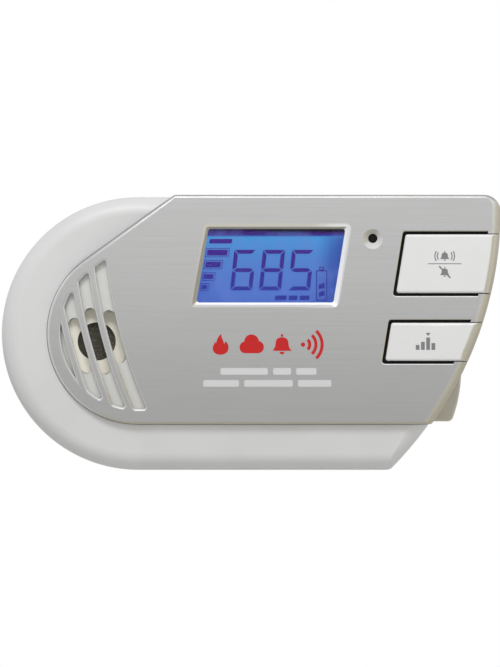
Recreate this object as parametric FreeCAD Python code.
# Plug-in carbon monoxide and gas detector: two moulded shells, a crowned fascia with a slotted
# sounder grille, a backlit display, two keys that wrap round the right-hand side, a side-loading
# battery drawer and a mains plug that swivels a quarter turn.
# Millimetres. +X is right, +Z is up, the wall is the plane y = 0 and the front looks along -Y.
# A depth, written f, is a distance out from the wall, so y = -f.
import FreeCAD, Part
import math
import os

V = FreeCAD.Vector

# ---- Body outline, seen from the front ----
WIDTH = 162.0
HEIGHT = 89.0
SIDE_BULGE = 1.36  # radius of the right-hand side's long curve, in body heights
SIDE_DROP = 3.5  # the curve's centre lies this far under the top
TOP_CORNER_R = 5.0
LOW_CORNER_R = 3.5

# ---- Shells ----
WALL = 2.2
REAR_EDGE_R = 2.5
PARTING_BEVEL = 0.4
BAND = 15.0  # the white band that shows round the fascia
BAND_FALL = 1.3
BAND_RIM_R = 6.0
PLATE = 2.2  # front housing's plate, which the fascia stands on
SEAT_DEPTH = 4.5  # from the plate up to the band's top
BOARD_SPACE = 3.2
VENT_W, VENT_PITCH, VENT_COUNT = 1.6, 4.0, 9

# ---- Fascia ----
FASCIA_STEP = 4.5  # the crown's top above the band
FASCIA_PROUD = 0.6  # overhang past the body at the top and the right
FASCIA_WALL = 2.0
FASCIA_ANGLE = 36.0  # slope of the upper left edge
FASCIA_GAP = 0.15
FASCIA_EDGE_R = 1.2
FASCIA_SIDE_R = 3.0
CROWN_RADIUS = 300.0
ROLL_RADIUS = 130.0  # the left end falls away on this radius
PEG_R = 1.3

# ---- Grille: arc-shaped slots that share one centre ----
GRILLE_MARGIN = 4.4  # from the fascia's edge to the slots' ends
GRILLE_RAISED = 0.6  # the slots stand this much nearer the top
GRILLE_X, GRILLE_Z = 154.0, 43.0  # the arcs' centre, from the left semicircle's centre
GRILLE_FIRST_R = 165.5  # the first slot's right-hand edge
FIRST_BAR_R = 170.4
BAR_PITCH = 5.9
BAR_W = 2.3
CRESCENT_LEAST = 0.8  # the last slot is left out if it would be narrower than this
SLOT_CORNER_R = 0.6
SLOT_EDGE_R = 0.8

# ---- Display ----
WINDOW_W, WINDOW_H = 43.9, 23.3
WINDOW_X = 6.8
WINDOW_DOWN = 22.5  # from the body's top to the window's centre
WINDOW_BEVEL = 1.9
WINDOW_CORNER_R = 1.0
SLANT = 9.2  # degrees from upright, shared by the window and the keys
LENS_T = 1.4
LENS_LEDGE = 2.0
LENS_DOWN = 2.4  # the lens's face below the crown's top
POCKET_WALL = 1.4
GLASS_W, GLASS_H, GLASS_T = 51.0, 28.0, 2.8
LIGHT_T = 2.6
FRAME_WALL = 1.2
PIN_COUNT, PIN_PITCH = 20, 2.3

# ---- Keys ----
KEY_RIGHT = 36.6  # from the body's right-hand limit to the key openings' left edge, at mid height
TEST_TOP, TEST_H = 11.4, 20.9  # opening: down from the body's top, and its height
PEAK_TOP, PEAK_H = 40.1, 14.2
KEY_GAP = 0.85
SIDE_GAP = 0.2  # the closer gap where a key wraps round the side
KEY_BAND = 4.0
OPENING_EDGE_R = 0.45
KEY_PROUD = 0.4
KEY_WALL = 1.5
KEY_EDGE_R = 0.9
KEY_CORNER_R = 0.9
KEY_TRAVEL = 1.0
KEY_FLANGE = 0.5
FLANGE_T = 0.9
POST_R = 1.7
MAT_T = 1.1
SWITCH_W, SWITCH_H = 6.0, 2.6
PLUNGER_R = 1.6
PLUNGER_H = 1.4

# ---- Indicator ----
LED_RIGHT = 41.1  # from the body's right-hand limit
LED_DOWN = 13.6
LED_R = 1.45
LED_CONE = 1.8

# ---- Sounder ----
HORN_X, HORN_Z = -13.4, -2.6  # from the left semicircle's centre
HORN_R = 11.1
HORN_MOUTH_R = 6.2
HORN_DOWN = 3.0  # the horn's face below the grille's floor
FLOOR_GAP = 0.2  # from the bars' backs to the grille's floor
GRILLE_FLOOR_T = 1.2
FLOOR_CORNER_R = 1.6
HORN_FLANGE_R = 13.2

# ---- Battery and drawer ----
BATTERY_L, BATTERY_W, BATTERY_T = 46.4, 26.5, 17.5
BATTERY_CORNER_R, BATTERY_SKIN = 1.2, 0.4
TERMINAL_H = 2.1
TERMINAL_SPACING = 12.7
CONTACT_ROOM = 6.4  # from the studs' ends to the back of the contact block
BATTERY_GAP = 0.25
DRAWER_WALL = 1.2
DRAWER_GAP = 0.3
BOARD_CLEAR = 3.3  # from the drawer's open side to the board
GRIP_TOP, GRIP_H = 0.15, 17.0  # finger grip: down from the door's top, and its height
GRIP_OUT = 7.4
GRIP_F0, GRIP_F1 = 5.5, 18.5

# ---- Board and its parts ----
BOARD_T = 1.6
BOARD_INSET = 6.0
TRANSFORMER_W, TRANSFORMER_H, TRANSFORMER_T = 30.0, 25.0, 11.0
CAN_R, CAN_H, CAN_PITCH = 4.0, 13.0, 9.5
VARISTOR_R, VARISTOR_T = 4.6, 3.6
FILM_W, FILM_H, FILM_T = 18.0, 6.8, 11.0
CELL_R, CELL_T = 9.6, 13.0  # carbon monoxide cell
GAS_R, GAS_BASE_R, GAS_H = 4.0, 4.6, 8.0

# ---- Swivel plug (flat blades, 12.7 mm apart) ----
PLUG_FROM_LEFT = 18.5  # from the left semicircle's centre
DISC_R = 15.0
DISC_FLANGE = 2.5
DISC_SUNK = 0.4
DISC_T = 2.0
HUB_R = 12.0
HUB_T = 3.6
BLADE_SPACING = 12.7
BLADE_W, BLADE_T, BLADE_OUT = 6.35, 1.5, 17.0
BLADE_HOLE_R = 1.6
BLADE_HOLE_AT = 11.7
RETAINER_T = 2.0
RUN_GAP = 0.2
STOP_R = 1.0
CONTACT_T = 0.5
EAR_R = 2.6
POST_ARC = 24.0  # degrees of ring that each contact's post spans

# ---- Rear label ----
LABEL_W, LABEL_H, LABEL_T = 30.0, 40.0, 0.2
LABEL_SUNK = 0.3
LABEL_Z = 12.0

# ---- Screws ----
CASE_HEAD_R, CASE_HEAD_H = 2.8, 2.2
CASE_SHANK_R, CASE_SHANK_L = 1.45, 11.0
CASE_BOSS_R = 3.75
CASE_SINK = 9.5
SMALL_HEAD_R, SMALL_HEAD_H, SMALL_SHANK_R = 1.9, 1.3, 0.95

# ---- Levels, as depths from the wall, stacked from the parts above ----
DRAWER_F0 = WALL + DRAWER_GAP
BATTERY_F0 = DRAWER_F0 + DRAWER_WALL + BATTERY_GAP
BATTERY_F1 = BATTERY_F0 + BATTERY_T
DRAWER_F1 = BATTERY_F1 + BATTERY_GAP
BOARD_BACK = DRAWER_F1 + BOARD_CLEAR
BOARD_FRONT = BOARD_BACK + BOARD_T
SPLIT = BOARD_BACK - 1.0
PLATE_BACK = BOARD_FRONT + BOARD_SPACE
SEAT = PLATE_BACK + PLATE
BAND_FRONT = SEAT + SEAT_DEPTH
FRONT = BAND_FRONT + FASCIA_STEP
LENS_FRONT = FRONT - LENS_DOWN
LENS_BACK = LENS_FRONT - LENS_T
GLASS_FRONT = LENS_BACK - 0.2
GLASS_BACK = GLASS_FRONT - GLASS_T
KEY_BACK = SEAT + MAT_T + KEY_TRAVEL + 0.8
NOTCH_BACK = KEY_BACK - KEY_TRAVEL - 0.3
PLUNGER_TOP = BOARD_FRONT + SWITCH_H + PLUNGER_H
GRILLE_DEEP = FASCIA_WALL + FLOOR_GAP

# ---- Places, seen from the front ----
TOP, BOTTOM = HEIGHT / 2, -HEIGHT / 2
SIDE_RADIUS = SIDE_BULGE * HEIGHT
LEFT_X = -WIDTH / 2 + HEIGHT / 2
SIDE_X, SIDE_Z = WIDTH / 2 - SIDE_RADIUS, TOP - SIDE_DROP
WINDOW_Z = TOP - WINDOW_DOWN
HORN_AT = (LEFT_X + HORN_X, HORN_Z)
LED_AT = (WIDTH / 2 - LED_RIGHT, TOP - LED_DOWN)
KEY_X = WIDTH / 2 - KEY_RIGHT
BAY_Z0 = BOTTOM + WALL + 0.9
TRAY_H = BATTERY_W + 2 * (BATTERY_GAP + DRAWER_WALL)
BAY_Z1 = BAY_Z0 + TRAY_H + 2 * DRAWER_GAP
BAY_ROOF = BAY_Z1 + DRAWER_WALL
RETAINER_R = DISC_R + DISC_FLANGE + 2.0
PLUG_AT = (LEFT_X + PLUG_FROM_LEFT, BAY_ROOF + 3.0 + RETAINER_R)
TILT = math.tan(math.radians(SLANT))


# ---------------------------------------------------------------- drawing helpers
def flat(x, z):
    return V(x, 0, z)


def line(a, b):
    return Part.LineSegment(flat(*a), flat(*b)).toShape()


def arc(a, mid, b):
    return Part.Arc(flat(*a), flat(*mid), flat(*b)).toShape()


def polygon(points):
    return Part.Face(Part.makePolygon([flat(*p) for p in points + points[:1]]))


def prism(face, f0, f1):
    """The face, drawn on the wall plane, as a solid from depth f0 out to depth f1."""
    moved = face.copy()
    moved.translate(V(0, -f0, 0))
    return moved.extrude(V(0, f0 - f1, 0))


def box(x0, x1, f0, f1, z0, z1):
    return Part.makeBox(x1 - x0, f1 - f0, z1 - z0, V(x0, -f1, z0))


def rod(x, z, r, f0, f1):
    return Part.makeCylinder(r, f1 - f0, V(x, -f0, z), V(0, -1, 0))


def taper(x, z, r0, r1, f0, f1):
    return Part.makeCone(r0, r1, f1 - f0, V(x, -f0, z), V(0, -1, 0))


def fuse(first, *others):
    return first.multiFuse(list(others)).removeSplitter() if others else first


def cut(shape, *tools):
    return shape.cut(Part.makeCompound(list(tools)))


def edges_at(shape, f):
    """The edges that lie in the plane at depth f."""
    found = [e for e in shape.Edges if abs(e.BoundBox.YMin + f) < 1e-3]
    return [e for e in found if abs(e.BoundBox.YMax + f) < 1e-3]


def upright_edges(shape):
    """The straight edges that run front to back, such as a prism's corners."""
    found = [e for e in shape.Edges if e.BoundBox.XLength < 1e-3]
    return [e for e in found if e.BoundBox.ZLength < 1e-3 and e.BoundBox.YLength > 1e-3]


def round_corners(shape, radius, keep):
    """Rounds the corner edges whose place (x, z) passes the test keep."""
    found = []
    for e in upright_edges(shape):
        p = e.Vertexes[0].Point
        if keep(p.x, p.z):
            found.append(e)
    return shape.makeFillet(radius, found) if found else shape


def bent_wire(a, b, radius):
    """A round wire from a to b, both (x, f, z), that leaves and arrives square to the wall."""
    start, end = V(a[0], -a[1], a[2]), V(b[0], -b[1], b[2])
    reach = V(0, (end.y - start.y) * 0.45, 0)
    curve = Part.BezierCurve()
    curve.setPoles([start, start + reach, end - reach, end])
    ring = Part.Wire(Part.Circle(start, V(0, -1, 0), radius).toShape())
    return Part.Wire(curve.toShape()).makePipeShell([ring], True, False)


# ---------------------------------------------------------------- outlines
def side_x(z, inset=0.0):
    """Where the right-hand curve stands at height z."""
    return SIDE_X + math.sqrt((SIDE_RADIUS - inset) ** 2 - (z - SIDE_Z) ** 2)


def body_face(inset):
    """The body's outline: a half circle on the left, straight top and bottom, a curved right."""
    r = HEIGHT / 2 - inset
    high, low = (side_x(r, inset), r), (side_x(-r, inset), -r)
    middle = (side_x(0, inset), 0)
    left = arc((LEFT_X, -r), (LEFT_X - r, 0), (LEFT_X, r))
    edges = [line((LEFT_X, r), high), arc(high, middle, low), line(low, (LEFT_X, -r)), left]
    return Part.Face(Part.Wire(edges))


def body_prism(inset, f0, f1):
    shape = prism(body_face(inset), f0, f1)
    shape = round_corners(shape, max(TOP_CORNER_R - inset, 0.6), lambda x, z: x > 0 and z > 0)
    return round_corners(shape, max(LOW_CORNER_R - inset, 0.6), lambda x, z: x > 0 and z < 0)


def fascia_face(inset):
    """The fascia's outline: inside the band on the left and below, overhanging above and right."""
    r = HEIGHT / 2 - BAND - inset
    out = inset - FASCIA_PROUD
    high = TOP - out
    a = math.radians(FASCIA_ANGLE)
    touch = (LEFT_X - r * math.sin(a), r * math.cos(a))
    upper_left = (touch[0] + (high - touch[1]) / math.tan(a), high)
    half = math.radians((270 + 90 + FASCIA_ANGLE) / 2)
    mid_left = (LEFT_X + r * math.cos(half), r * math.sin(half))
    upper_right, lower_right = (side_x(high, out), high), (side_x(-r, out), -r)
    edges = [
        line(upper_left, upper_right),
        arc(upper_right, (side_x(0, out), 0), lower_right),
        line(lower_right, (LEFT_X, -r)),
        arc((LEFT_X, -r), mid_left, touch),
        line(touch, upper_left),
    ]
    return Part.Face(Part.Wire(edges))


def fascia_prism(inset, f0, f1):
    shape = prism(fascia_face(inset), f0, f1)
    corner = max(TOP_CORNER_R + FASCIA_PROUD - inset, 0.6)
    return round_corners(shape, corner, lambda x, z: x > 0 and z > 0)


def crown_depth(x, z, top):
    """The crowned front's depth: arched from top to bottom, and falling away at the left end."""
    middle = (TOP + FASCIA_PROUD - (HEIGHT / 2 - BAND)) / 2
    fall = max(0.0, LEFT_X - x)
    return top - (z - middle) ** 2 / (2 * CROWN_RADIUS) - fall**2 / (2 * ROLL_RADIUS)


def crown_solid(top):
    """Everything behind the crowned front, as deep as the whole detector."""
    reach_x, reach_z, steps_x, steps_z = WIDTH / 2 + 12, HEIGHT / 2 + 12, 24, 8
    grid = []
    for i in range(steps_x + 1):
        x = -reach_x + 2 * reach_x * i / steps_x
        row = []
        for k in range(steps_z + 1):
            z = -reach_z + 2 * reach_z * k / steps_z
            row.append(V(x, -crown_depth(x, z, top), z))
        grid.append(row)
    surface = Part.BSplineSurface()
    surface.interpolate(grid)
    return surface.toShape().extrude(V(0, FRONT + 10, 0))


def slanted(x_low, x_high, z_low, z_high):
    """A parallelogram with upright sides leaned by SLANT; x is given at the origin's height."""
    return polygon(
        [
            (x_low + z_low * TILT, z_low),
            (x_high + z_low * TILT, z_low),
            (x_high + z_high * TILT, z_high),
            (x_low + z_high * TILT, z_high),
        ]
    )


def window_face(grow):
    x = WINDOW_X - WINDOW_Z * TILT
    half_w, half_h = WINDOW_W / 2 + grow, WINDOW_H / 2 + grow
    return slanted(x - half_w, x + half_w, WINDOW_Z - half_h, WINDOW_Z + half_h)


# ---------------------------------------------------------------- where the screws stand
def case_screw_places():
    low_z = BAY_ROOF + 1.5 + CASE_BOSS_R
    return [
        (LEFT_X - 20, TOP - 15),
        (LEFT_X - 19, BOTTOM + 15),
        (side_x(TOP - 9) - 14, TOP - 9),
        (side_x(low_z) - WALL - CASE_BOSS_R - 0.3, low_z),
    ]


def board_screw_places():
    by_display = WINDOW_X - GLASS_W / 2 - FRAME_WALL - 2.6
    return [(by_display, TOP - 9), (LEFT_X + 18, BOTTOM + BAND + 4), (WINDOW_X + 30.5, BAY_ROOF + 11)]


def peg_places():
    return [
        (LEFT_X + 10, BOTTOM + BAND + 5),
        (WINDOW_X, BOTTOM + BAND + 5),
        (KEY_X + 2, BOTTOM + BAND + 6),
        (WINDOW_X - WINDOW_W / 2 - 12, TOP - 6),
        (KEY_X - 3, TOP - 5),
    ]


def retainer_screw_places():
    reach = RETAINER_R + 1.8
    places = []
    for k in range(4):
        a = math.radians(45 + 90 * k)
        places.append((PLUG_AT[0] + reach * math.cos(a), PLUG_AT[1] + reach * math.sin(a)))
    return places


# ---------------------------------------------------------------- shells
def make_rear_cover():
    shell = body_prism(0, 0, SPLIT)
    shell = shell.makeFillet(REAR_EDGE_R, edges_at(shell, 0))
    shell = shell.makeChamfer(PARTING_BEVEL, edges_at(shell, SPLIT))
    shell = cut(shell, body_prism(WALL, WALL, SPLIT + 1))
    inner = body_prism(WALL / 2, WALL, SPLIT - 1.0)
    bay_left = battery_left() - TERMINAL_H - CONTACT_ROOM - 0.1
    added = [
        box(bay_left - DRAWER_WALL, WIDTH, WALL / 2, SPLIT - 2, BAY_Z1, BAY_ROOF).common(inner),
        box(bay_left - DRAWER_WALL, bay_left, WALL / 2, SPLIT - 2, BOTTOM, BAY_ROOF).common(inner),
    ]
    added += [rod(x, z, CASE_BOSS_R, WALL / 2, CASE_SINK + 2.5) for x, z in case_screw_places()]
    added += [rod(x, z, EAR_R, WALL / 2, disc_plate_f()) for x, z in retainer_screw_places()]
    shell = fuse(shell, *added)
    tools = [rod(*PLUG_AT, DISC_R + RUN_GAP, -1, WALL + 1)]
    for x, z in case_screw_places():
        tools.append(rod(x, z, CASE_HEAD_R + 0.4, -1, CASE_SINK))
        tools.append(rod(x, z, CASE_SHANK_R + 0.25, 0, CASE_SINK + 5))
    tools += [rod(x, z, SMALL_SHANK_R, WALL + 0.2, SPLIT) for x, z in retainer_screw_places()]
    tools.append(box(side_x(BAY_Z0) - 12, WIDTH, WALL, DRAWER_F1 + DRAWER_GAP, BAY_Z0, BAY_Z1))
    tools += vent_slots(TOP - WALL - 2, TOP + 2, LEFT_X - 2)
    tools += vent_slots(BOTTOM - 2, BOTTOM + WALL + 2, LEFT_X - 14)
    tools.append(box(*label_span(), -1, LABEL_SUNK, LABEL_Z - LABEL_H / 2, LABEL_Z + LABEL_H / 2))
    return cut(shell, *tools)


def vent_slots(z0, z1, x_first):
    slots = []
    for k in range(VENT_COUNT):
        x = x_first + k * VENT_PITCH
        slots.append(box(x - VENT_W / 2, x + VENT_W / 2, 7.0, SPLIT - 4.5, z0, z1))
    return slots


def label_span():
    x = side_x(0) - 14 - LABEL_W
    return x, x + LABEL_W


def make_rear_label():
    x0, x1 = label_span()
    z0, z1 = LABEL_Z - LABEL_H / 2 + 0.3, LABEL_Z + LABEL_H / 2 - 0.3
    return box(x0 + 0.3, x1 - 0.3, LABEL_SUNK - LABEL_T, LABEL_SUNK, z0, z1)


def make_vent_screens():
    """Fine insect screens, glued inside the two rows of vents."""
    span, f0, f1 = (VENT_COUNT - 1) * VENT_PITCH + 6, 6.0, SPLIT - 3.5
    high, low = LEFT_X - 2 - 3, LEFT_X - 14 - 3
    top_z, low_z = TOP - WALL, BOTTOM + WALL
    # the lower row crosses onto the round end, so its screen stops at the end's start
    return Part.makeCompound(
        [
            box(max(high, LEFT_X + 1), high + span, f0, f1, top_z - 0.3, top_z),
            box(max(low, LEFT_X + 1), low + span, f0, f1, low_z, low_z + 0.3),
        ]
    )


def band_profile(reach, fall):
    """Half the front form's section: flat, then sloping off, then rounded down to its side."""
    start, edge_f = reach - BAND + 1.0, BAND_FRONT - fall
    a = math.atan2(fall, BAND - 1.0)
    r = BAND_RIM_R
    centre = (reach - r, edge_f - r * (1 - math.sin(a)) / math.cos(a))

    def on_arc(t):
        return V(centre[0] + r * math.cos(t), -centre[1] - r * math.sin(t), 0)

    crest = on_arc(math.pi / 2 - a)
    side = on_arc(0)
    path = [V(reach, 0, 0), V(0, 0, 0), V(0, -BAND_FRONT, 0), V(start, -BAND_FRONT, 0), crest]
    edges = [Part.LineSegment(p, q).toShape() for p, q in zip(path, path[1:])]
    edges.append(Part.Arc(crest, on_arc((math.pi / 2 - a) / 2), side).toShape())
    edges.append(Part.LineSegment(side, path[0]).toShape())
    return Part.Face(Part.Wire(edges))


def front_shell():
    """The front housing's outer form: the body's outline under one rounded, sloping section."""
    section = band_profile(HEIGHT / 2, BAND_FALL)
    section.rotate(V(0, 0, 0), V(0, 1, 0), -90)
    section.translate(V(LEFT_X, 0, 0))
    round_end = section.revolve(V(LEFT_X, 0, 0), V(0, 1, 0), -180)
    upper = section.extrude(V(2 * WIDTH, 0, 0))
    lower = upper.mirror(V(0, 0, 0), V(0, 0, 1))
    side = band_profile(SIDE_RADIUS, 0)
    side.translate(V(SIDE_X, 0, SIDE_Z))
    right = side.revolve(V(SIDE_X, 0, SIDE_Z), V(0, 1, 0), 360)
    shell = body_prism(0, SPLIT, BAND_FRONT)
    shell = shell.makeChamfer(PARTING_BEVEL, edges_at(shell, SPLIT))
    return shell.common(fuse(round_end, upper, lower)).common(right).Solids[0]


def roof_f(x, z):
    """How far the front housing's hollow reaches: to its plate, or to the band's inside."""
    under_fascia = fascia_face(-FASCIA_GAP - WALL).isInside(flat(x, z), 0.01, True)
    return PLATE_BACK if under_fascia else BAND_FRONT - BAND_FALL - WALL


def make_front_housing():
    shell = front_shell()
    tools = [fascia_prism(-FASCIA_GAP, SEAT, FRONT + 5)]
    tools.append(body_prism(WALL, SPLIT - 1, PLATE_BACK))
    band_room = body_prism(BAND_RIM_R + 0.5, PLATE_BACK - 1, BAND_FRONT - BAND_FALL - WALL)
    tools.append(cut(band_room, fascia_prism(-FASCIA_GAP - WALL, PLATE_BACK - 2, FRONT + 5)))
    shell = cut(shell, *tools)
    boss_f = CASE_SINK + 2.5
    added = [rod(x, z, CASE_BOSS_R - 0.5, boss_f, roof_f(x, z) + 0.3) for x, z in case_screw_places()]
    added += [rod(x, z, 2.4, BOARD_FRONT, roof_f(x, z) + 0.3) for x, z in board_screw_places()]
    shell = fuse(shell, *added)
    w, h = GLASS_W / 2 + FRAME_WALL + 1.0, GLASS_H / 2 + FRAME_WALL + 1.4
    opening = box(WINDOW_X - w, WINDOW_X + w, SPLIT, FRONT, WINDOW_Z - h, WINDOW_Z + h)
    holes = [opening, rod(*HORN_AT, HORN_R + 0.2, PLATE_BACK - 1, FRONT)]
    holes.append(rod(*LED_AT, LED_R + 0.4, PLATE_BACK - 1, FRONT))
    holes += [rod(*at, POST_R + 0.5, PLATE_BACK - 1, FRONT) for at in (post_at("test"), post_at("peak"))]
    holes += [rod(x, z, PEG_R + 0.1, PLATE_BACK - 1, FRONT) for x, z in peg_places()]
    shank_end = CASE_SINK + CASE_SHANK_L + 1
    holes += [rod(x, z, CASE_SHANK_R + 0.02, 0, shank_end) for x, z in case_screw_places()]
    holes += [rod(x, z, SMALL_SHANK_R + 0.02, 0, SEAT - 1) for x, z in board_screw_places()]
    return cut(shell, *holes)


# ---------------------------------------------------------------- fascia
def grille_centre():
    return (LEFT_X + GRILLE_X, GRILLE_Z)


def grille_slots(f0, f1):
    """The slots, counted from the right: rings of one centre, cut off short of the fascia's edge."""
    slots = []
    inside = fascia_prism(GRILLE_MARGIN, f0, f1)
    inside.translate(V(0, 0, GRILLE_RAISED))
    far_left = math.hypot(GRILLE_X, GRILLE_Z) + HEIGHT / 2 - BAND - GRILLE_MARGIN
    beyond = far_left - CRESCENT_LEAST - FIRST_BAR_R - BAR_W / 2
    count = 2 + math.floor(beyond / BAR_PITCH)
    for k in range(count):
        inner = FIRST_BAR_R + (k - 1) * BAR_PITCH + BAR_W / 2 if k else GRILLE_FIRST_R
        outer = FIRST_BAR_R + k * BAR_PITCH - BAR_W / 2
        if k == count - 1:
            outer = inner + 3 * BAR_PITCH
        ring = cut(rod(*grille_centre(), outer, f0, f1), rod(*grille_centre(), inner, f0 - 1, f1 + 1))
        slot = ring.common(inside).Solids[0]
        # the last slot is a crescent, whose two tips stay sharp
        corners = upright_edges(slot) if k < count - 1 else []
        slots.append(slot.makeFillet(SLOT_CORNER_R, corners) if corners else slot)
    return slots


def front_rim(edge, f0):
    """An edge of the crowned front: no part of it lies on the back or runs back along a side."""
    deepest = -edge.BoundBox.YMax
    return deepest > f0 + 1.0 and edge.BoundBox.YLength < 4.5


def fascia_form(top, f0):
    """The fascia's outer form from depth f0: crowned, with its front rim rounded all round."""
    block = fascia_prism(0, f0, FRONT + 6).common(crown_solid(top)).Solids[0]
    # the rounding grows from small along the top to large down the right-hand side
    rim = [e for e in block.Edges if front_rim(e, f0)]
    corner = [e for e in rim if e.BoundBox.XMin > KEY_X and e.BoundBox.ZMin > 0]
    block = block.makeFillet(FASCIA_EDGE_R, FASCIA_SIDE_R, corner)
    small = [e for e in block.Edges if front_rim(e, f0) and is_low_or_left(e)]
    return block.makeFillet(FASCIA_EDGE_R, small)


def make_fascia():
    block = fascia_form(FRONT, SEAT)
    room = fascia_prism(FASCIA_WALL, SEAT - 1, FRONT + 6).common(crown_solid(FRONT - FASCIA_WALL))
    block = cut(block, room)
    added = []
    for x, z in peg_places():
        top = crown_depth(x, z, FRONT) - FASCIA_WALL / 2
        added.append(rod(x, z, PEG_R, PLATE_BACK - 1.2, top))
        added.append(rod(x, z, PEG_R + 1.0, SEAT, top))
    pocket = prism(window_face(LENS_LEDGE + 0.15 + POCKET_WALL), LENS_BACK - 0.2, FRONT)
    added.append(pocket.common(crown_solid(FRONT - FASCIA_WALL / 2)))
    block = fuse(block, *added)
    cone_f = crown_depth(*LED_AT, FRONT)
    tools = grille_slots(SEAT, FRONT + 3) + [key_window("test"), key_window("peak")]
    tools.append(prism(window_face(LENS_LEDGE + 0.15), SEAT, LENS_FRONT))
    tools.append(window_funnel())
    tools.append(rod(*LED_AT, LED_R + 0.05, SEAT, FRONT + 1))
    tools.append(taper(*LED_AT, LED_R, LED_R + 2.4, cone_f - LED_CONE, cone_f + 0.6))
    shell = cut(block, *tools)
    shell = shell.makeFillet(SLOT_EDGE_R, [e for e in shell.Edges if on_slot_rim(e)])
    shell = shell.makeFillet(OPENING_EDGE_R, [e for e in shell.Edges if on_key_rim(e)])
    gap = KEY_GAP - SIDE_GAP
    return cut(shell, *[key_prism(which, gap, NOTCH_BACK, FRONT + 3) for which in ("test", "peak")])


def on_crown(edge):
    """Whether an edge lies in the fascia's crowned face."""
    first, span = edge.FirstParameter, edge.LastParameter - edge.FirstParameter
    points = [edge.valueAt(first + k * span) for k in (0.1, 0.5, 0.9)]
    return all(abs(-p.y - crown_depth(p.x, p.z, FRONT)) < 0.15 for p in points)


def on_slot_rim(edge):
    """An edge where a grille slot meets the crowned front."""
    p = edge.valueAt((edge.FirstParameter + edge.LastParameter) / 2)
    here = flat(p.x, p.z - GRILLE_RAISED)
    inside = fascia_face(GRILLE_MARGIN - 0.05).isInside(here, 0.01, True)
    right = math.hypot(p.x - grille_centre()[0], p.z - grille_centre()[1]) < GRILLE_FIRST_R - 0.05
    return inside and not right and edge.Length > 0.1 and on_crown(edge)


def on_key_rim(edge):
    """An edge where a key's opening meets the crowned front, apart from its right-hand end."""
    p = edge.valueAt((edge.FirstParameter + edge.LastParameter) / 2)
    for which in ("test", "peak"):
        low, high = key_span(which)
        inside = low - 0.1 < p.z < high + 0.1 and p.x > KEY_X + p.z * TILT - 0.1
        if inside and p.x < side_x(p.z, KEY_BAND) - 0.5:
            return on_crown(edge)
    return False


def is_low_or_left(edge):
    low = HEIGHT / 2 - BAND
    on_bottom = abs(edge.BoundBox.ZMin + low) < 0.01 and edge.BoundBox.ZLength < 0.01
    on_end = edge.BoundBox.XMin < LEFT_X - low + 1.0 and edge.BoundBox.XMax < LEFT_X + 0.01
    a = math.radians(FASCIA_ANGLE)
    box_ratio = edge.BoundBox.ZLength / max(edge.BoundBox.XLength, 1e-6)
    on_slope = abs(box_ratio - math.tan(a)) < 0.01 and edge.BoundBox.XMax < WINDOW_X
    return on_bottom or on_end or on_slope


def window_funnel():
    """The bevelled surround of the display: the window's outline, opening towards the front."""
    low = window_face(0).Wires[0]
    high = window_face(WINDOW_BEVEL).Wires[0]
    low.translate(V(0, -(LENS_FRONT - 0.5), 0))
    high.translate(V(0, -(FRONT + 0.3), 0))
    funnel = Part.makeLoft([low, high], True, True)
    sides = [e for e in funnel.Edges if e.BoundBox.YLength > 1.0]
    return funnel.makeFillet(WINDOW_CORNER_R, sides)


def horn_face():
    return crown_depth(*HORN_AT, FRONT) - GRILLE_DEEP - HORN_DOWN


def make_grille_floor():
    """The moulding behind the bars, with rounded slots that let the horn's sound out."""
    reach = HEIGHT / 2 - BAND - FASCIA_WALL - 0.6
    floor = rod(LEFT_X, 0, reach, SEAT, FRONT).common(fascia_prism(FASCIA_WALL + 0.6, SEAT, FRONT))
    floor = floor.common(crown_solid(FRONT - GRILLE_DEEP))
    floor = cut(floor, rod(*grille_centre(), GRILLE_FIRST_R - 2.5, 0, FRONT))
    horn_room = rod(*HORN_AT, HORN_R + 0.2, 0, FRONT)
    tools = [horn_room.common(crown_solid(FRONT - GRILLE_DEEP - GRILLE_FLOOR_T))]
    for slot in grille_slots(SEAT, FRONT)[:3]:
        opening = slot.common(rod(*HORN_AT, HORN_R, SEAT, FRONT))
        tools.append(opening.makeFillet(FLOOR_CORNER_R, upright_edges(opening)))
    return cut(floor, *tools)


# ---------------------------------------------------------------- keys
def key_span(which):
    """(bottom, top) of a key's opening."""
    down, height = (TEST_TOP, TEST_H) if which == "test" else (PEAK_TOP, PEAK_H)
    return TOP - down - height, TOP - down


def post_at(which):
    low, high = key_span(which)
    z = (low + high) / 2
    return ((KEY_X + z * TILT + side_x(z)) / 2, z)


def key_prism(which, gap, f0, f1):
    """A key's leaning outline, smaller than its opening by gap, run off the right-hand side."""
    low, high = key_span(which)
    shape = prism(slanted(KEY_X + gap, WIDTH, low + gap, high - gap), f0, f1)
    return round_corners(shape, KEY_CORNER_R, lambda x, z: x < WIDTH / 2)


def key_window(which):
    """The part of a key's opening that lies in the front; its side is a closer notch."""
    inside = fascia_prism(KEY_BAND, NOTCH_BACK, FRONT + 3)
    return key_prism(which, 0, NOTCH_BACK, FRONT + 3).common(inside)


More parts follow.
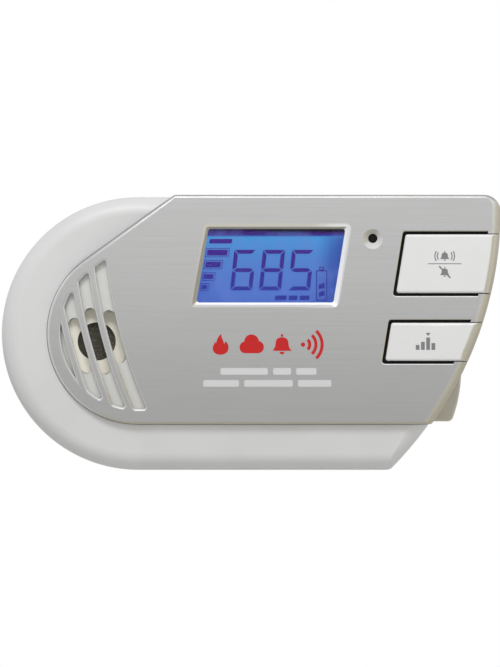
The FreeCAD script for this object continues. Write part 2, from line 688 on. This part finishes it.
def make_key(which):
    low, high = key_span(which)
    top = FRONT + KEY_PROUD
    pill = key_prism(which, KEY_GAP, 0, FRONT + 9).common(crown_solid(top)).Solids[0]
    rim = [e for e in pill.Edges if -e.BoundBox.YMax > KEY_BACK and e.BoundBox.XMin < WIDTH / 2]
    # both shapes end in the same crowned face, so they are joined with a small tolerance
    cap = pill.makeFillet(KEY_EDGE_R, rim).common([fascia_form(top, KEY_BACK)], 0.001)
    inset = KEY_GAP + KEY_WALL
    room_face = slanted(KEY_X + inset, WIDTH, low + inset, high - inset)
    room = prism(room_face, 0, FRONT).common(fascia_prism(KEY_WALL, KEY_BACK - 1, FRONT))
    cap = cut(cap, room.common(crown_solid(top - KEY_WALL)))
    flange_top = FRONT - FASCIA_WALL - 0.15
    inside = fascia_prism(FASCIA_WALL + 0.4, KEY_BACK, FRONT).common(crown_solid(flange_top))
    flange = prism(slanted(KEY_X - KEY_FLANGE, WIDTH, low - KEY_FLANGE, high + KEY_FLANGE), 0, FRONT)
    flange = cut(flange.common(inside), prism(room_face, 0, FRONT), crown_solid(flange_top - FLANGE_T))
    x, z = post_at(which)
    post = rod(x, z, POST_R, PLUNGER_TOP, crown_depth(x, z, top) - KEY_WALL / 2)
    ribs = [
        box(x - 0.6, x + 0.6, KEY_BACK, FRONT - 1, low + 2, high - 2),
        box(KEY_X + 4 + z * TILT, side_x(z) - 1.5, KEY_BACK, FRONT - 1, z - 0.6, z + 0.6),
    ]
    ribs = [r.common(crown_solid(top - KEY_WALL / 2)) for r in ribs]
    return fuse(cap, flange, post, *ribs)


def make_keypad_mat():
    low, high = key_span("peak")[0] - 1.8, key_span("test")[1] + 1.8
    mat = prism(slanted(KEY_X - 2.2, WIDTH, low, high), SEAT, SEAT + MAT_T)
    mat = mat.common(fascia_prism(FASCIA_WALL + 0.4, SEAT, FRONT))
    return cut(mat, *[rod(*post_at(w), POST_R + 0.6, 0, FRONT) for w in ("test", "peak")])


def make_switch_base(which):
    x, z = post_at(which)
    half = SWITCH_W / 2
    body = box(x - half, x + half, BOARD_FRONT, BOARD_FRONT + SWITCH_H, z - half, z + half)
    body = body.makeChamfer(0.3, edges_at(body, BOARD_FRONT + SWITCH_H))
    return cut(body, rod(x, z, PLUNGER_R + 0.1, BOARD_FRONT + 0.3, FRONT))


def make_switch_plunger(which):
    x, z = post_at(which)
    return rod(x, z, PLUNGER_R, BOARD_FRONT + 0.4 + KEY_TRAVEL, PLUNGER_TOP)


# ---------------------------------------------------------------- display
def make_display_lens():
    return round_corners(prism(window_face(LENS_LEDGE), LENS_BACK, LENS_FRONT), 1.5, lambda x, z: True)


def display_box(grow_w, grow_h, f0, f1):
    w, h = GLASS_W / 2 + grow_w, GLASS_H / 2 + grow_h
    return box(WINDOW_X - w, WINDOW_X + w, f0, f1, WINDOW_Z - h, WINDOW_Z + h)


def make_display_glass():
    """Two bonded glass sheets; the rear one is taller and carries the contact ledge."""
    rear = display_box(0, 0, GLASS_BACK, GLASS_BACK + GLASS_T / 2)
    w, h = GLASS_W / 2, GLASS_H / 2
    front = box(
        WINDOW_X - w,
        WINDOW_X + w,
        GLASS_BACK + GLASS_T / 2,
        GLASS_FRONT,
        WINDOW_Z - h + 1.6,
        WINDOW_Z + h,
    )
    return fuse(rear, front)


def make_display_backlight():
    guide = display_box(-0.6, -0.6, GLASS_BACK - 0.1 - LIGHT_T, GLASS_BACK - 0.1)
    return guide.makeChamfer(0.4, upright_edges(guide))


def make_display_frame():
    top, ledge = GLASS_BACK + GLASS_T / 2, GLASS_BACK - 0.1 - LIGHT_T
    outer = display_box(FRAME_WALL + 0.2, FRAME_WALL + 0.9, BOARD_FRONT, top)
    rooms = [display_box(0.2, 0.9, ledge, top + 1), display_box(-2.5, -2.5, BOARD_FRONT + 1.2, FRONT)]
    half = PIN_COUNT * PIN_PITCH / 2
    rooms.append(box(WINDOW_X - half, WINDOW_X + half, 0, FRONT, pin_z() - 0.15, pin_z() + 0.45))
    return cut(outer, *rooms)


def pin_z():
    return WINDOW_Z - GLASS_H / 2 - 0.75


def make_display_pins():
    pins = []
    z = pin_z()
    for k in range(PIN_COUNT):
        x = WINDOW_X + (k - (PIN_COUNT - 1) / 2) * PIN_PITCH
        leg = box(x - 0.25, x + 0.25, BOARD_FRONT, GLASS_BACK - 0.3, z, z + 0.3)
        clip = box(x - 0.25, x + 0.25, GLASS_BACK - 0.3, GLASS_BACK, z, z + 1.2)
        pins.append(fuse(leg, clip))
    return Part.makeCompound(pins)


# ---------------------------------------------------------------- indicator
def make_light_pipe():
    cone_f = crown_depth(*LED_AT, FRONT) - LED_CONE
    stem = rod(*LED_AT, LED_R, BOARD_FRONT + 1.4, cone_f - 0.15)
    collar = rod(*LED_AT, LED_R + 1.4, cone_f - 2.6, cone_f - 1.6)
    tip = edges_at(stem, cone_f - 0.15)
    return fuse(stem.makeFillet(0.5, tip), collar)


def make_power_led():
    x, z = LED_AT
    body = box(x - 1.6, x + 1.6, BOARD_FRONT, BOARD_FRONT + 0.8, z - 1.0, z + 1.0)
    return fuse(body, taper(x, z, 0.9, 0.6, BOARD_FRONT + 0.8, BOARD_FRONT + 1.3))


# ---------------------------------------------------------------- sounder
def make_horn_case():
    face = horn_face()
    flange_top = PLATE_BACK - 0.5
    case = fuse(
        rod(*HORN_AT, HORN_R, BOARD_FRONT + 0.6, face),
        rod(*HORN_AT, HORN_FLANGE_R, BOARD_FRONT + 1.0, flange_top),
    )
    case = case.makeFillet(0.6, edges_at(case, face))
    room = rod(*HORN_AT, HORN_R - 1.5, BOARD_FRONT, face - 1.2)
    mouth = rod(*HORN_AT, HORN_MOUTH_R, BOARD_FRONT, FRONT)
    return cut(case, room, mouth)


def make_horn_ring():
    """Foam ring that seals the sounder against the front plate."""
    ring = rod(*HORN_AT, HORN_FLANGE_R, PLATE_BACK - 0.5, PLATE_BACK)
    return cut(ring, rod(*HORN_AT, HORN_R + 0.3, 0, FRONT))


def make_horn_gauze():
    face = horn_face()
    return rod(*HORN_AT, HORN_R - 1.6, face - 1.6, face - 1.2)


def make_horn_disc():
    """Brass disc with its ceramic layer, which makes the sound."""
    base = BOARD_FRONT + 0.8
    brass = rod(*HORN_AT, HORN_R - 1.6, base, base + 0.25)
    return fuse(brass, rod(*HORN_AT, 6.5, base + 0.25, base + 0.45))


# ---------------------------------------------------------------- battery drawer
def battery_right():
    return side_x(BAY_Z0 + DRAWER_GAP) - WALL - 1.2


def battery_left():
    return battery_right() - BATTERY_L


def battery_block(inset):
    z0 = BAY_Z0 + DRAWER_GAP + DRAWER_WALL + BATTERY_GAP
    x0, x1, f0, f1 = battery_left(), battery_right(), BATTERY_F0, BATTERY_F1
    block = box(x0 + inset, x1 - inset, f0 + inset, f1 - inset, z0 + inset, z0 + BATTERY_W - inset)
    long_edges = [e for e in block.Edges if e.BoundBox.XLength > BATTERY_L / 2]
    return block.makeFillet(BATTERY_CORNER_R - inset, long_edges)


def make_battery_case():
    """The battery's thin steel case; the stack of cells fills it."""
    return cut(battery_block(0), battery_block(BATTERY_SKIN))


def terminal_places():
    z = BAY_Z0 + DRAWER_GAP + TRAY_H / 2
    f = (BATTERY_F0 + BATTERY_F1) / 2
    return [(f, z - TERMINAL_SPACING / 2), (f, z + TERMINAL_SPACING / 2)]


def stud(f, z, r, x0, x1):
    return Part.makeCylinder(r, x1 - x0, V(x0, -f, z), V(1, 0, 0))


def make_battery_terminals():
    """The snap studs on the battery's end: a plain round one and a wider, cupped one."""
    (f, z_plain), (_, z_cup) = terminal_places()
    x1 = battery_left()
    x0 = x1 - TERMINAL_H
    cup = cut(stud(f, z_cup, 4.1, x0, x1), stud(f, z_cup, 2.9, x0 - 1, x1 - 0.4))
    return Part.makeCompound([stud(f, z_plain, 2.8, x0, x1), cup])


def make_drawer():
    z0, z1 = BAY_Z0 + DRAWER_GAP, BAY_Z1 - DRAWER_GAP
    x0 = battery_left() - 0.6
    tray = body_prism(0, DRAWER_F0, DRAWER_F1).common(box(x0, WIDTH, 0, FRONT, z0, z1))
    room_z0, room_z1 = z0 + DRAWER_WALL, z1 - DRAWER_WALL
    room_f0 = DRAWER_F0 + DRAWER_WALL
    stop = battery_right() + BATTERY_GAP
    rooms = [box(x0 - 1, stop, room_f0, FRONT, room_z0, room_z1)]
    beyond = box(stop + DRAWER_WALL, WIDTH, room_f0, FRONT, room_z0, room_z1)
    rooms.append(beyond.common(body_prism(WALL, 0, FRONT)))
    tray = cut(tray, *rooms)
    hooks = [
        box(x0, x0 + 0.5, DRAWER_F0, DRAWER_F1 - 5, z0, room_z0 + 1.5),
        box(x0, x0 + 0.5, DRAWER_F0, DRAWER_F1 - 5, room_z1 - 1.5, z1),
    ]
    grip_z1 = z1 - GRIP_TOP
    grip_z0 = grip_z1 - GRIP_H
    high = (side_x(grip_z1) + 0.5, grip_z1)
    low = (side_x(grip_z0) + GRIP_OUT, grip_z0)
    middle_z = (grip_z0 + grip_z1) / 2 + 1
    middle = ((high[0] + low[0]) / 2 + 1.0, middle_z)
    inner = [(low[0] - 9, grip_z0), (high[0] - 4, grip_z1)]
    edges = [arc(high, middle, low), line(low, inner[0]), line(*inner), line(inner[1], high)]
    grip = prism(Part.Face(Part.Wire(edges)), GRIP_F0, GRIP_F1)
    grip = round_corners(grip, 2.0, lambda x, z: abs(x - low[0]) < 0.01 and z < middle_z)
    outer = [e for e in grip.Edges if e.BoundBox.YLength < 1e-3 and e.BoundBox.XMax > low[0] - 2.5]
    outer = [e for e in outer if e.BoundBox.ZLength > 5]
    grip = grip.makeFillet(0.8, outer)
    grip = cut(grip, body_prism(WALL / 2, 0, FRONT))
    return fuse(tray, *hooks, grip)


def make_contact_block():
    """Insulating block at the bay's inner end, which carries the battery springs."""
    x0 = battery_left() - TERMINAL_H - CONTACT_ROOM
    z0, z1 = BAY_Z0 + 1.5, BAY_Z1 - 1.5
    block = box(x0, x0 + 2.0, WALL + 1.2, DRAWER_F1, z0, z1)
    grooves = [box(x0 + 1.4, x0 + 3, 0, FRONT, z - 3.1, z + 3.1) for _, z in terminal_places()]
    return cut(block, *grooves)


def make_battery_springs():
    """Two bent leaf springs that meet the battery's studs when the drawer is shut."""
    x0 = battery_left() - TERMINAL_H - CONTACT_ROOM + 1.4
    tip = battery_left() - TERMINAL_H - 0.05
    springs = []
    for f, z in terminal_places():
        low, high = f - 5.5, DRAWER_F1 + 0.6
        path = [(x0, high), (x0, low), (x0 + 0.3, low), (tip, f - 0.6), (tip, f + 1.4)]
        back = [(tip - 0.3, f + 1.4), (tip - 0.3, f - 0.5), (x0 + 0.4, low + 0.5), (x0 + 0.3, high)]
        points = [V(x, -y, z - 2.5) for x, y in path + back + path[:1]]
        springs.append(Part.Face(Part.makePolygon(points)).extrude(V(0, 0, 5.0)))
    return Part.makeCompound(springs)


def make_battery_leads():
    leads = []
    x = battery_left() - TERMINAL_H - CONTACT_ROOM + 1.55
    for _, z in terminal_places():
        leads.append(bent_wire((x, DRAWER_F1 + 0.6, z), (x - 1.5, BOARD_BACK, z + 1.0), 0.6))
    return leads


# ---------------------------------------------------------------- board and its parts
def make_main_board():
    board = body_prism(BOARD_INSET, BOARD_BACK, BOARD_FRONT)
    holes = [rod(x, z, CASE_BOSS_R, 0, FRONT) for x, z in case_screw_places()]
    holes += [rod(x, z, SMALL_SHANK_R + 0.2, 0, FRONT) for x, z in board_screw_places()]
    return cut(board, *holes)


def chip(x, z, w, h, t, legs):
    """A leaded package on the board's front, with its legs along the two long sides."""
    f0 = BOARD_FRONT
    body = box(x - w / 2, x + w / 2, f0 + 0.1, f0 + t, z - h / 2, z + h / 2)
    pins = []
    for k in range(legs):
        px = x + (k - (legs - 1) / 2) * w / (legs + 0.5)
        pins.append(box(px - 0.2, px + 0.2, f0, f0 + 0.5, z - h / 2 - 1.2, z + h / 2 + 1.2))
    return fuse(body, *pins)


def make_board_chips():
    z = BAY_ROOF + 6
    chips = [chip(WINDOW_X - 14, z, 17.9, 7.5, 2.3, 14), chip(WINDOW_X + 4, z, 5.0, 4.0, 1.6, 4)]
    chips.append(chip(WINDOW_X + 14, z, 5.0, 4.0, 1.6, 4))
    return Part.makeCompound(chips)


def make_board_passives():
    """Small resistors and capacitors, in two rows below the chips."""
    parts = []
    for row in range(2):
        for k in range(11):
            x = WINDOW_X - 25 + 4.2 * k
            z = BAY_ROOF - 4 - 5 * row
            parts.append(box(x - 1.0, x + 1.0, BOARD_FRONT, BOARD_FRONT + 0.6, z - 0.6, z + 0.6))
    return Part.makeCompound(parts)


def make_capacitors():
    """Three electrolytic cans, standing on the back of the board."""
    cans = []
    for k in range(3):
        x, z = PLUG_AT[0] + RETAINER_R + 8.8, PLUG_AT[1] - 9 + CAN_PITCH * k
        can = rod(x, z, CAN_R, BOARD_BACK - CAN_H, BOARD_BACK)
        cans.append(can.makeFillet(0.5, edges_at(can, BOARD_BACK - CAN_H)))
    return Part.makeCompound(cans)


def transformer_at():
    return (side_x(WINDOW_Z) - 36.0, PLUG_AT[1] + 6.0)


def make_transformer_core():
    x, z = transformer_at()
    f1 = BOARD_BACK - 4.2
    w, h = TRANSFORMER_W / 2, TRANSFORMER_H / 2
    block = box(x - w, x + w, f1 - TRANSFORMER_T, f1, z - h, z + h)
    windows = [
        box(x - 9.5, x - 5, 0, FRONT, z - 7.5, z + 7.5),
        box(x + 5, x + 9.5, 0, FRONT, z - 7.5, z + 7.5),
    ]
    return cut(block, *windows)


def make_transformer_coil():
    x, z = transformer_at()
    f1 = BOARD_BACK
    outer = box(x - 9.4, x + 9.4, f1 - TRANSFORMER_T - 8.2, f1, z - 7.4, z + 7.4)
    outer = outer.makeFillet(1.5, [e for e in outer.Edges if e.BoundBox.ZLength > 10])
    core_f0, core_f1 = f1 - 4.3 - TRANSFORMER_T, f1 - 4.1
    leg = box(x - 5.1, x + 5.1, core_f0, core_f1, z - 20, z + 20)
    return cut(outer, leg)


def make_varistor():
    x, z = transformer_at()
    x, z = x + 3, z - TRANSFORMER_H / 2 - 5.0
    centre = V(x, -(BOARD_BACK - VARISTOR_R - 1.8), z - VARISTOR_T / 2)
    disc = Part.makeCylinder(VARISTOR_R, VARISTOR_T, centre, V(0, 0, 1))
    legs = []
    for leg_x in (x - 2.5, x + 2.5):
        legs.append(box(leg_x - 0.3, leg_x + 0.3, BOARD_BACK - 4, BOARD_BACK, z - 0.3, z + 0.3))
    return fuse(disc, *legs)


def make_film_capacitor():
    x, z = LEFT_X - 0.5, BOTTOM + 11
    f0 = BOARD_BACK - FILM_T
    block = box(x - FILM_W / 2, x + FILM_W / 2, f0, BOARD_BACK, z - FILM_H / 2, z + FILM_H / 2)
    return block.makeFillet(0.8, edges_at(block, f0))


def cell_at():
    return (LEFT_X - 7.5, BOTTOM + 29.5)


def make_co_cell():
    """Electrochemical carbon monoxide cell: a metal can with a breathing hole in its cap."""
    x, z = cell_at()
    f0, f1 = BOARD_BACK - 1 - CELL_T, BOARD_BACK - 1
    can = rod(x, z, CELL_R, f0, f1)
    can = can.makeFillet(0.8, edges_at(can, f0))
    pins = [rod(x + dx, z + dz, 0.5, f1 - 0.5, BOARD_BACK) for dx, dz in ((5, 0), (-3, 4), (-3, -4))]
    groove = cut(rod(x, z, CELL_R + 2, f1 - 3, f1 - 2.4), rod(x, z, CELL_R - 0.4, 0, FRONT))
    return fuse(cut(can, rod(x, z, 1.2, 0, f0 + 2), groove), *pins)


def gas_at():
    return (LEFT_X - 7.5, TOP - 14.5)


def make_gas_sensor_base():
    x, z = gas_at()
    base = rod(x, z, GAS_BASE_R, BOARD_BACK - 3, BOARD_BACK - 1)
    pins = []
    for k in range(6):
        a = math.radians(60 * k)
        px, pz = x + 2.9 * math.cos(a), z + 2.9 * math.sin(a)
        pins.append(rod(px, pz, 0.4, BOARD_BACK - 1.2, BOARD_BACK))
    return fuse(base, *pins)


def make_gas_sensor_cap():
    x, z = gas_at()
    f0, f1 = BOARD_BACK - GAS_H - 1, BOARD_BACK - 3
    cap = fuse(rod(x, z, GAS_R, f0, f1), rod(x, z, GAS_BASE_R, f1 - 0.6, f1))
    return cut(cap, rod(x, z, GAS_R - 0.4, f0 + 0.8, f1 + 0.5), rod(x, z, GAS_R - 1.4, 0, f0 + 1))


def make_gas_sensor_gauze():
    x, z = gas_at()
    f0 = BOARD_BACK - GAS_H - 0.2
    return rod(x, z, GAS_R - 0.5, f0, f0 + 0.3)


# ---------------------------------------------------------------- swivel plug
def disc_flange_f():
    return WALL + RUN_GAP


def disc_plate_f():
    """Where the retainer's plate begins: just above the disc's flange."""
    return disc_flange_f() + DISC_T + RUN_GAP


def stop_ring_r():
    return (HUB_R + DISC_R + DISC_FLANGE) / 2


def make_plug_disc():
    f0 = disc_flange_f()
    disc = rod(*PLUG_AT, DISC_R, DISC_SUNK, f0 + DISC_T)
    disc = disc.makeFillet(0.6, edges_at(disc, DISC_SUNK))
    flange = rod(*PLUG_AT, DISC_R + DISC_FLANGE, f0, f0 + DISC_T)
    hub = rod(*PLUG_AT, HUB_R, f0, f0 + DISC_T + HUB_T)
    x, z = PLUG_AT
    stop = rod(x, z + stop_ring_r(), STOP_R, f0, f0 + DISC_T + RETAINER_T - 0.3)
    disc = fuse(disc, flange, hub, stop)
    tools = [blade_box(side, -BLADE_OUT, FRONT) for side in (-1, 1)]
    for mark_z in (z - 12.2, z + 12.2):
        tools.append(box(x - 1, x + 1, DISC_SUNK - 1, DISC_SUNK + 0.8, mark_z - 1.6, mark_z + 1.6))
    return cut(disc, *tools)


def blade_box(side, f0, f1):
    x, z = PLUG_AT[0] + side * BLADE_SPACING / 2, PLUG_AT[1]
    return box(x - BLADE_T / 2, x + BLADE_T / 2, f0, f1, z - BLADE_W / 2, z + BLADE_W / 2)


def make_plug_blades():
    foot = disc_flange_f() + DISC_T + HUB_T + 1.0
    blades = []
    for side in (-1, 1):
        blade = blade_box(side, DISC_SUNK - BLADE_OUT, foot)
        tip = [e for e in edges_at(blade, DISC_SUNK - BLADE_OUT) if e.BoundBox.ZLength > 1]
        blade = blade.makeChamfer(0.5, tip)
        x = PLUG_AT[0] + side * BLADE_SPACING / 2 - BLADE_T
        at = V(x, BLADE_HOLE_AT - DISC_SUNK, PLUG_AT[1])
        hole = Part.makeCylinder(BLADE_HOLE_R, 2 * BLADE_T, at, V(1, 0, 0))
        blades.append(cut(blade, hole))
    return Part.makeCompound(blades)


def sector(r0, r1, start, end, f0, f1):
    """Part of a ring about the plug's axis, between two angles in degrees from +X towards +Z."""
    x, z = PLUG_AT
    a, m, b = (math.radians(t) for t in (start, (start + end) / 2, end))

    def at(r, t):
        return (x + r * math.cos(t), z + r * math.sin(t))

    edges = [
        arc(at(r0, a), at(r0, m), at(r0, b)),
        line(at(r0, b), at(r1, b)),
        arc(at(r1, b), at(r1, m), at(r1, a)),
        line(at(r1, a), at(r0, a)),
    ]
    return prism(Part.Face(Part.Wire(edges)), f0, f1)


def make_plug_retainer():
    """Screwed-down ring that keeps the plug's disc in, with an arc slot for the disc's stop."""
    f0, f1 = disc_plate_f(), disc_plate_f() + RETAINER_T
    ring = rod(*PLUG_AT, RETAINER_R, WALL, f1)
    ears = [rod(x, z, EAR_R, f0, f1) for x, z in retainer_screw_places()]
    half, r0, r1 = POST_ARC / 2, HUB_R + 1.2, RETAINER_R - 1.2
    posts = [sector(r0, r1, t - half, t + half, f1 - 0.5, contact_f()) for t in (-45, 135)]
    body = fuse(ring, *ears)
    tools = [rod(*PLUG_AT, DISC_R + DISC_FLANGE + RUN_GAP, 0, f0)]
    tools.append(rod(*PLUG_AT, HUB_R + RUN_GAP, 0, FRONT))
    r = stop_ring_r()
    slack = math.degrees((STOP_R + RUN_GAP) / r)
    room = STOP_R + RUN_GAP
    tools.append(sector(r - room, r + room, -slack, 90 + slack, 0, FRONT))
    tools += [rod(x, z, SMALL_SHANK_R + 0.15, 0, FRONT) for x, z in retainer_screw_places()]
    for x, z in retainer_screw_places():
        tools.append(rod(x, z, SMALL_HEAD_R + 0.2, f1 - 0.8, FRONT))
        tools.append(rod(x, z, EAR_R + 0.1, 0, f0))
    return fuse(cut(body, *tools), *posts)


def contact_f():
    """Where the fixed contacts lie, just above the blades' inner ends."""
    return disc_flange_f() + DISC_T + HUB_T + 1.0 + RUN_GAP / 2


def make_plug_contacts():
    """Two copper quarter rings that stay on the blades' ends through the quarter turn."""
    contacts = []
    f0, f1 = contact_f(), contact_f() + CONTACT_T
    inner, outer = BLADE_SPACING / 2 - 2.0, BLADE_SPACING / 2 + 2.0
    for middle in (-45, 135):
        ring = sector(inner, outer, middle - 56, middle + 56, f0, f1)
        tab = sector(outer - 0.5, RETAINER_R - 1.2, middle - 9, middle + 9, f0, f1)
        contacts.append(fuse(ring, tab))
    return Part.makeCompound(contacts)


def make_mains_leads():
    leads = []
    x, z = PLUG_AT
    r = RETAINER_R - 3.5
    for middle, shift in ((-45, 2.5), (135, -2.5)):
        a = math.radians(middle)
        px, pz = x + r * math.cos(a), z + r * math.sin(a)
        start, end = (px, contact_f() + CONTACT_T, pz), (px + shift, BOARD_BACK, pz)
        leads.append(bent_wire(start, end, 0.9))
    return leads


# ---------------------------------------------------------------- fasteners
def screw(x, z, under_head, out, head_r, head_h, shank_r, length):
    """A pan-head screw whose head sits at depth under_head; out is +1 if it points to the front."""
    f0, f1 = sorted((under_head, under_head - out * head_h))
    head = rod(x, z, head_r, f0, f1)
    head = head.makeFillet(head_h * 0.35, edges_at(head, under_head - out * head_h))
    s0, s1 = sorted((under_head, under_head + out * length))
    body = fuse(head, rod(x, z, shank_r, s0, s1))
    face = under_head - out * head_h
    k0, k1 = sorted((face + out * head_h * 0.5, face - out))
    w = head_r * 0.55
    slot = box(x - w, x + w, k0, k1, z - 0.35, z + 0.35)
    cross = box(x - 0.35, x + 0.35, k0, k1, z - w, z + w)
    return cut(body, slot, cross)


def make_case_screws():
    size = (CASE_HEAD_R, CASE_HEAD_H, CASE_SHANK_R, CASE_SHANK_L)
    return Part.makeCompound([screw(x, z, CASE_SINK, 1, *size) for x, z in case_screw_places()])


def make_board_screws():
    size = (SMALL_HEAD_R, SMALL_HEAD_H, SMALL_SHANK_R, BOARD_T + BOARD_SPACE + 0.8)
    return Part.makeCompound([screw(x, z, BOARD_BACK, 1, *size) for x, z in board_screw_places()])


def make_retainer_screws():
    under = disc_plate_f() + RETAINER_T - 0.8
    size = (SMALL_HEAD_R, SMALL_HEAD_H, SMALL_SHANK_R - 0.02, 3.2)
    return Part.makeCompound([screw(x, z, under, -1, *size) for x, z in retainer_screw_places()])


# ---------------------------------------------------------------- the nodes
def build():
    battery_lead, battery_return = make_battery_leads()
    mains_live, mains_neutral = make_mains_leads()
    return {
        "rear_cover": make_rear_cover(),
        "front_housing": make_front_housing(),
        "front_fascia": make_fascia(),
        "grille_floor": make_grille_floor(),
        "test_key": make_key("test"),
        "peak_key": make_key("peak"),
        "keypad_mat": make_keypad_mat(),
        "test_switch_base": make_switch_base("test"),
        "test_switch_plunger": make_switch_plunger("test"),
        "peak_switch_base": make_switch_base("peak"),
        "peak_switch_plunger": make_switch_plunger("peak"),
        "display_lens": make_display_lens(),
        "display_glass": make_display_glass(),
        "display_backlight": make_display_backlight(),
        "display_frame": make_display_frame(),
        "display_pins": make_display_pins(),
        "led_light_pipe": make_light_pipe(),
        "power_led": make_power_led(),
        "horn_case": make_horn_case(),
        "horn_ring": make_horn_ring(),
        "horn_gauze": make_horn_gauze(),
        "horn_disc": make_horn_disc(),
        "battery_drawer": make_drawer(),
        "battery_case": make_battery_case(),
        "battery_cells": battery_block(BATTERY_SKIN),
        "battery_terminals": make_battery_terminals(),
        "battery_contact_block": make_contact_block(),
        "battery_springs": make_battery_springs(),
        "battery_lead_red": battery_lead,
        "battery_lead_black": battery_return,
        "main_board": make_main_board(),
        "board_chips": make_board_chips(),
        "board_passives": make_board_passives(),
        "capacitors": make_capacitors(),
        "transformer_core": make_transformer_core(),
        "transformer_coil": make_transformer_coil(),
        "varistor": make_varistor(),
        "film_capacitor": make_film_capacitor(),
        "co_cell": make_co_cell(),
        "gas_sensor_base": make_gas_sensor_base(),
        "gas_sensor_cap": make_gas_sensor_cap(),
        "gas_sensor_gauze": make_gas_sensor_gauze(),
        "plug_disc": make_plug_disc(),
        "plug_blades": make_plug_blades(),
        "plug_retainer": make_plug_retainer(),
        "plug_contacts": make_plug_contacts(),
        "mains_lead_live": mains_live,
        "mains_lead_neutral": mains_neutral,
        "rear_label": make_rear_label(),
        "vent_screens": make_vent_screens(),
        "case_screws": make_case_screws(),
        "board_screws": make_board_screws(),
        "retainer_screws": make_retainer_screws(),
    }


os.makedirs("parts", exist_ok=True)
for name, shape in build().items():
    for solid in shape.Solids:
        assert solid.isValid() and solid.Volume > 0, name
    shape.exportStep(os.path.join("parts", name + ".step"))
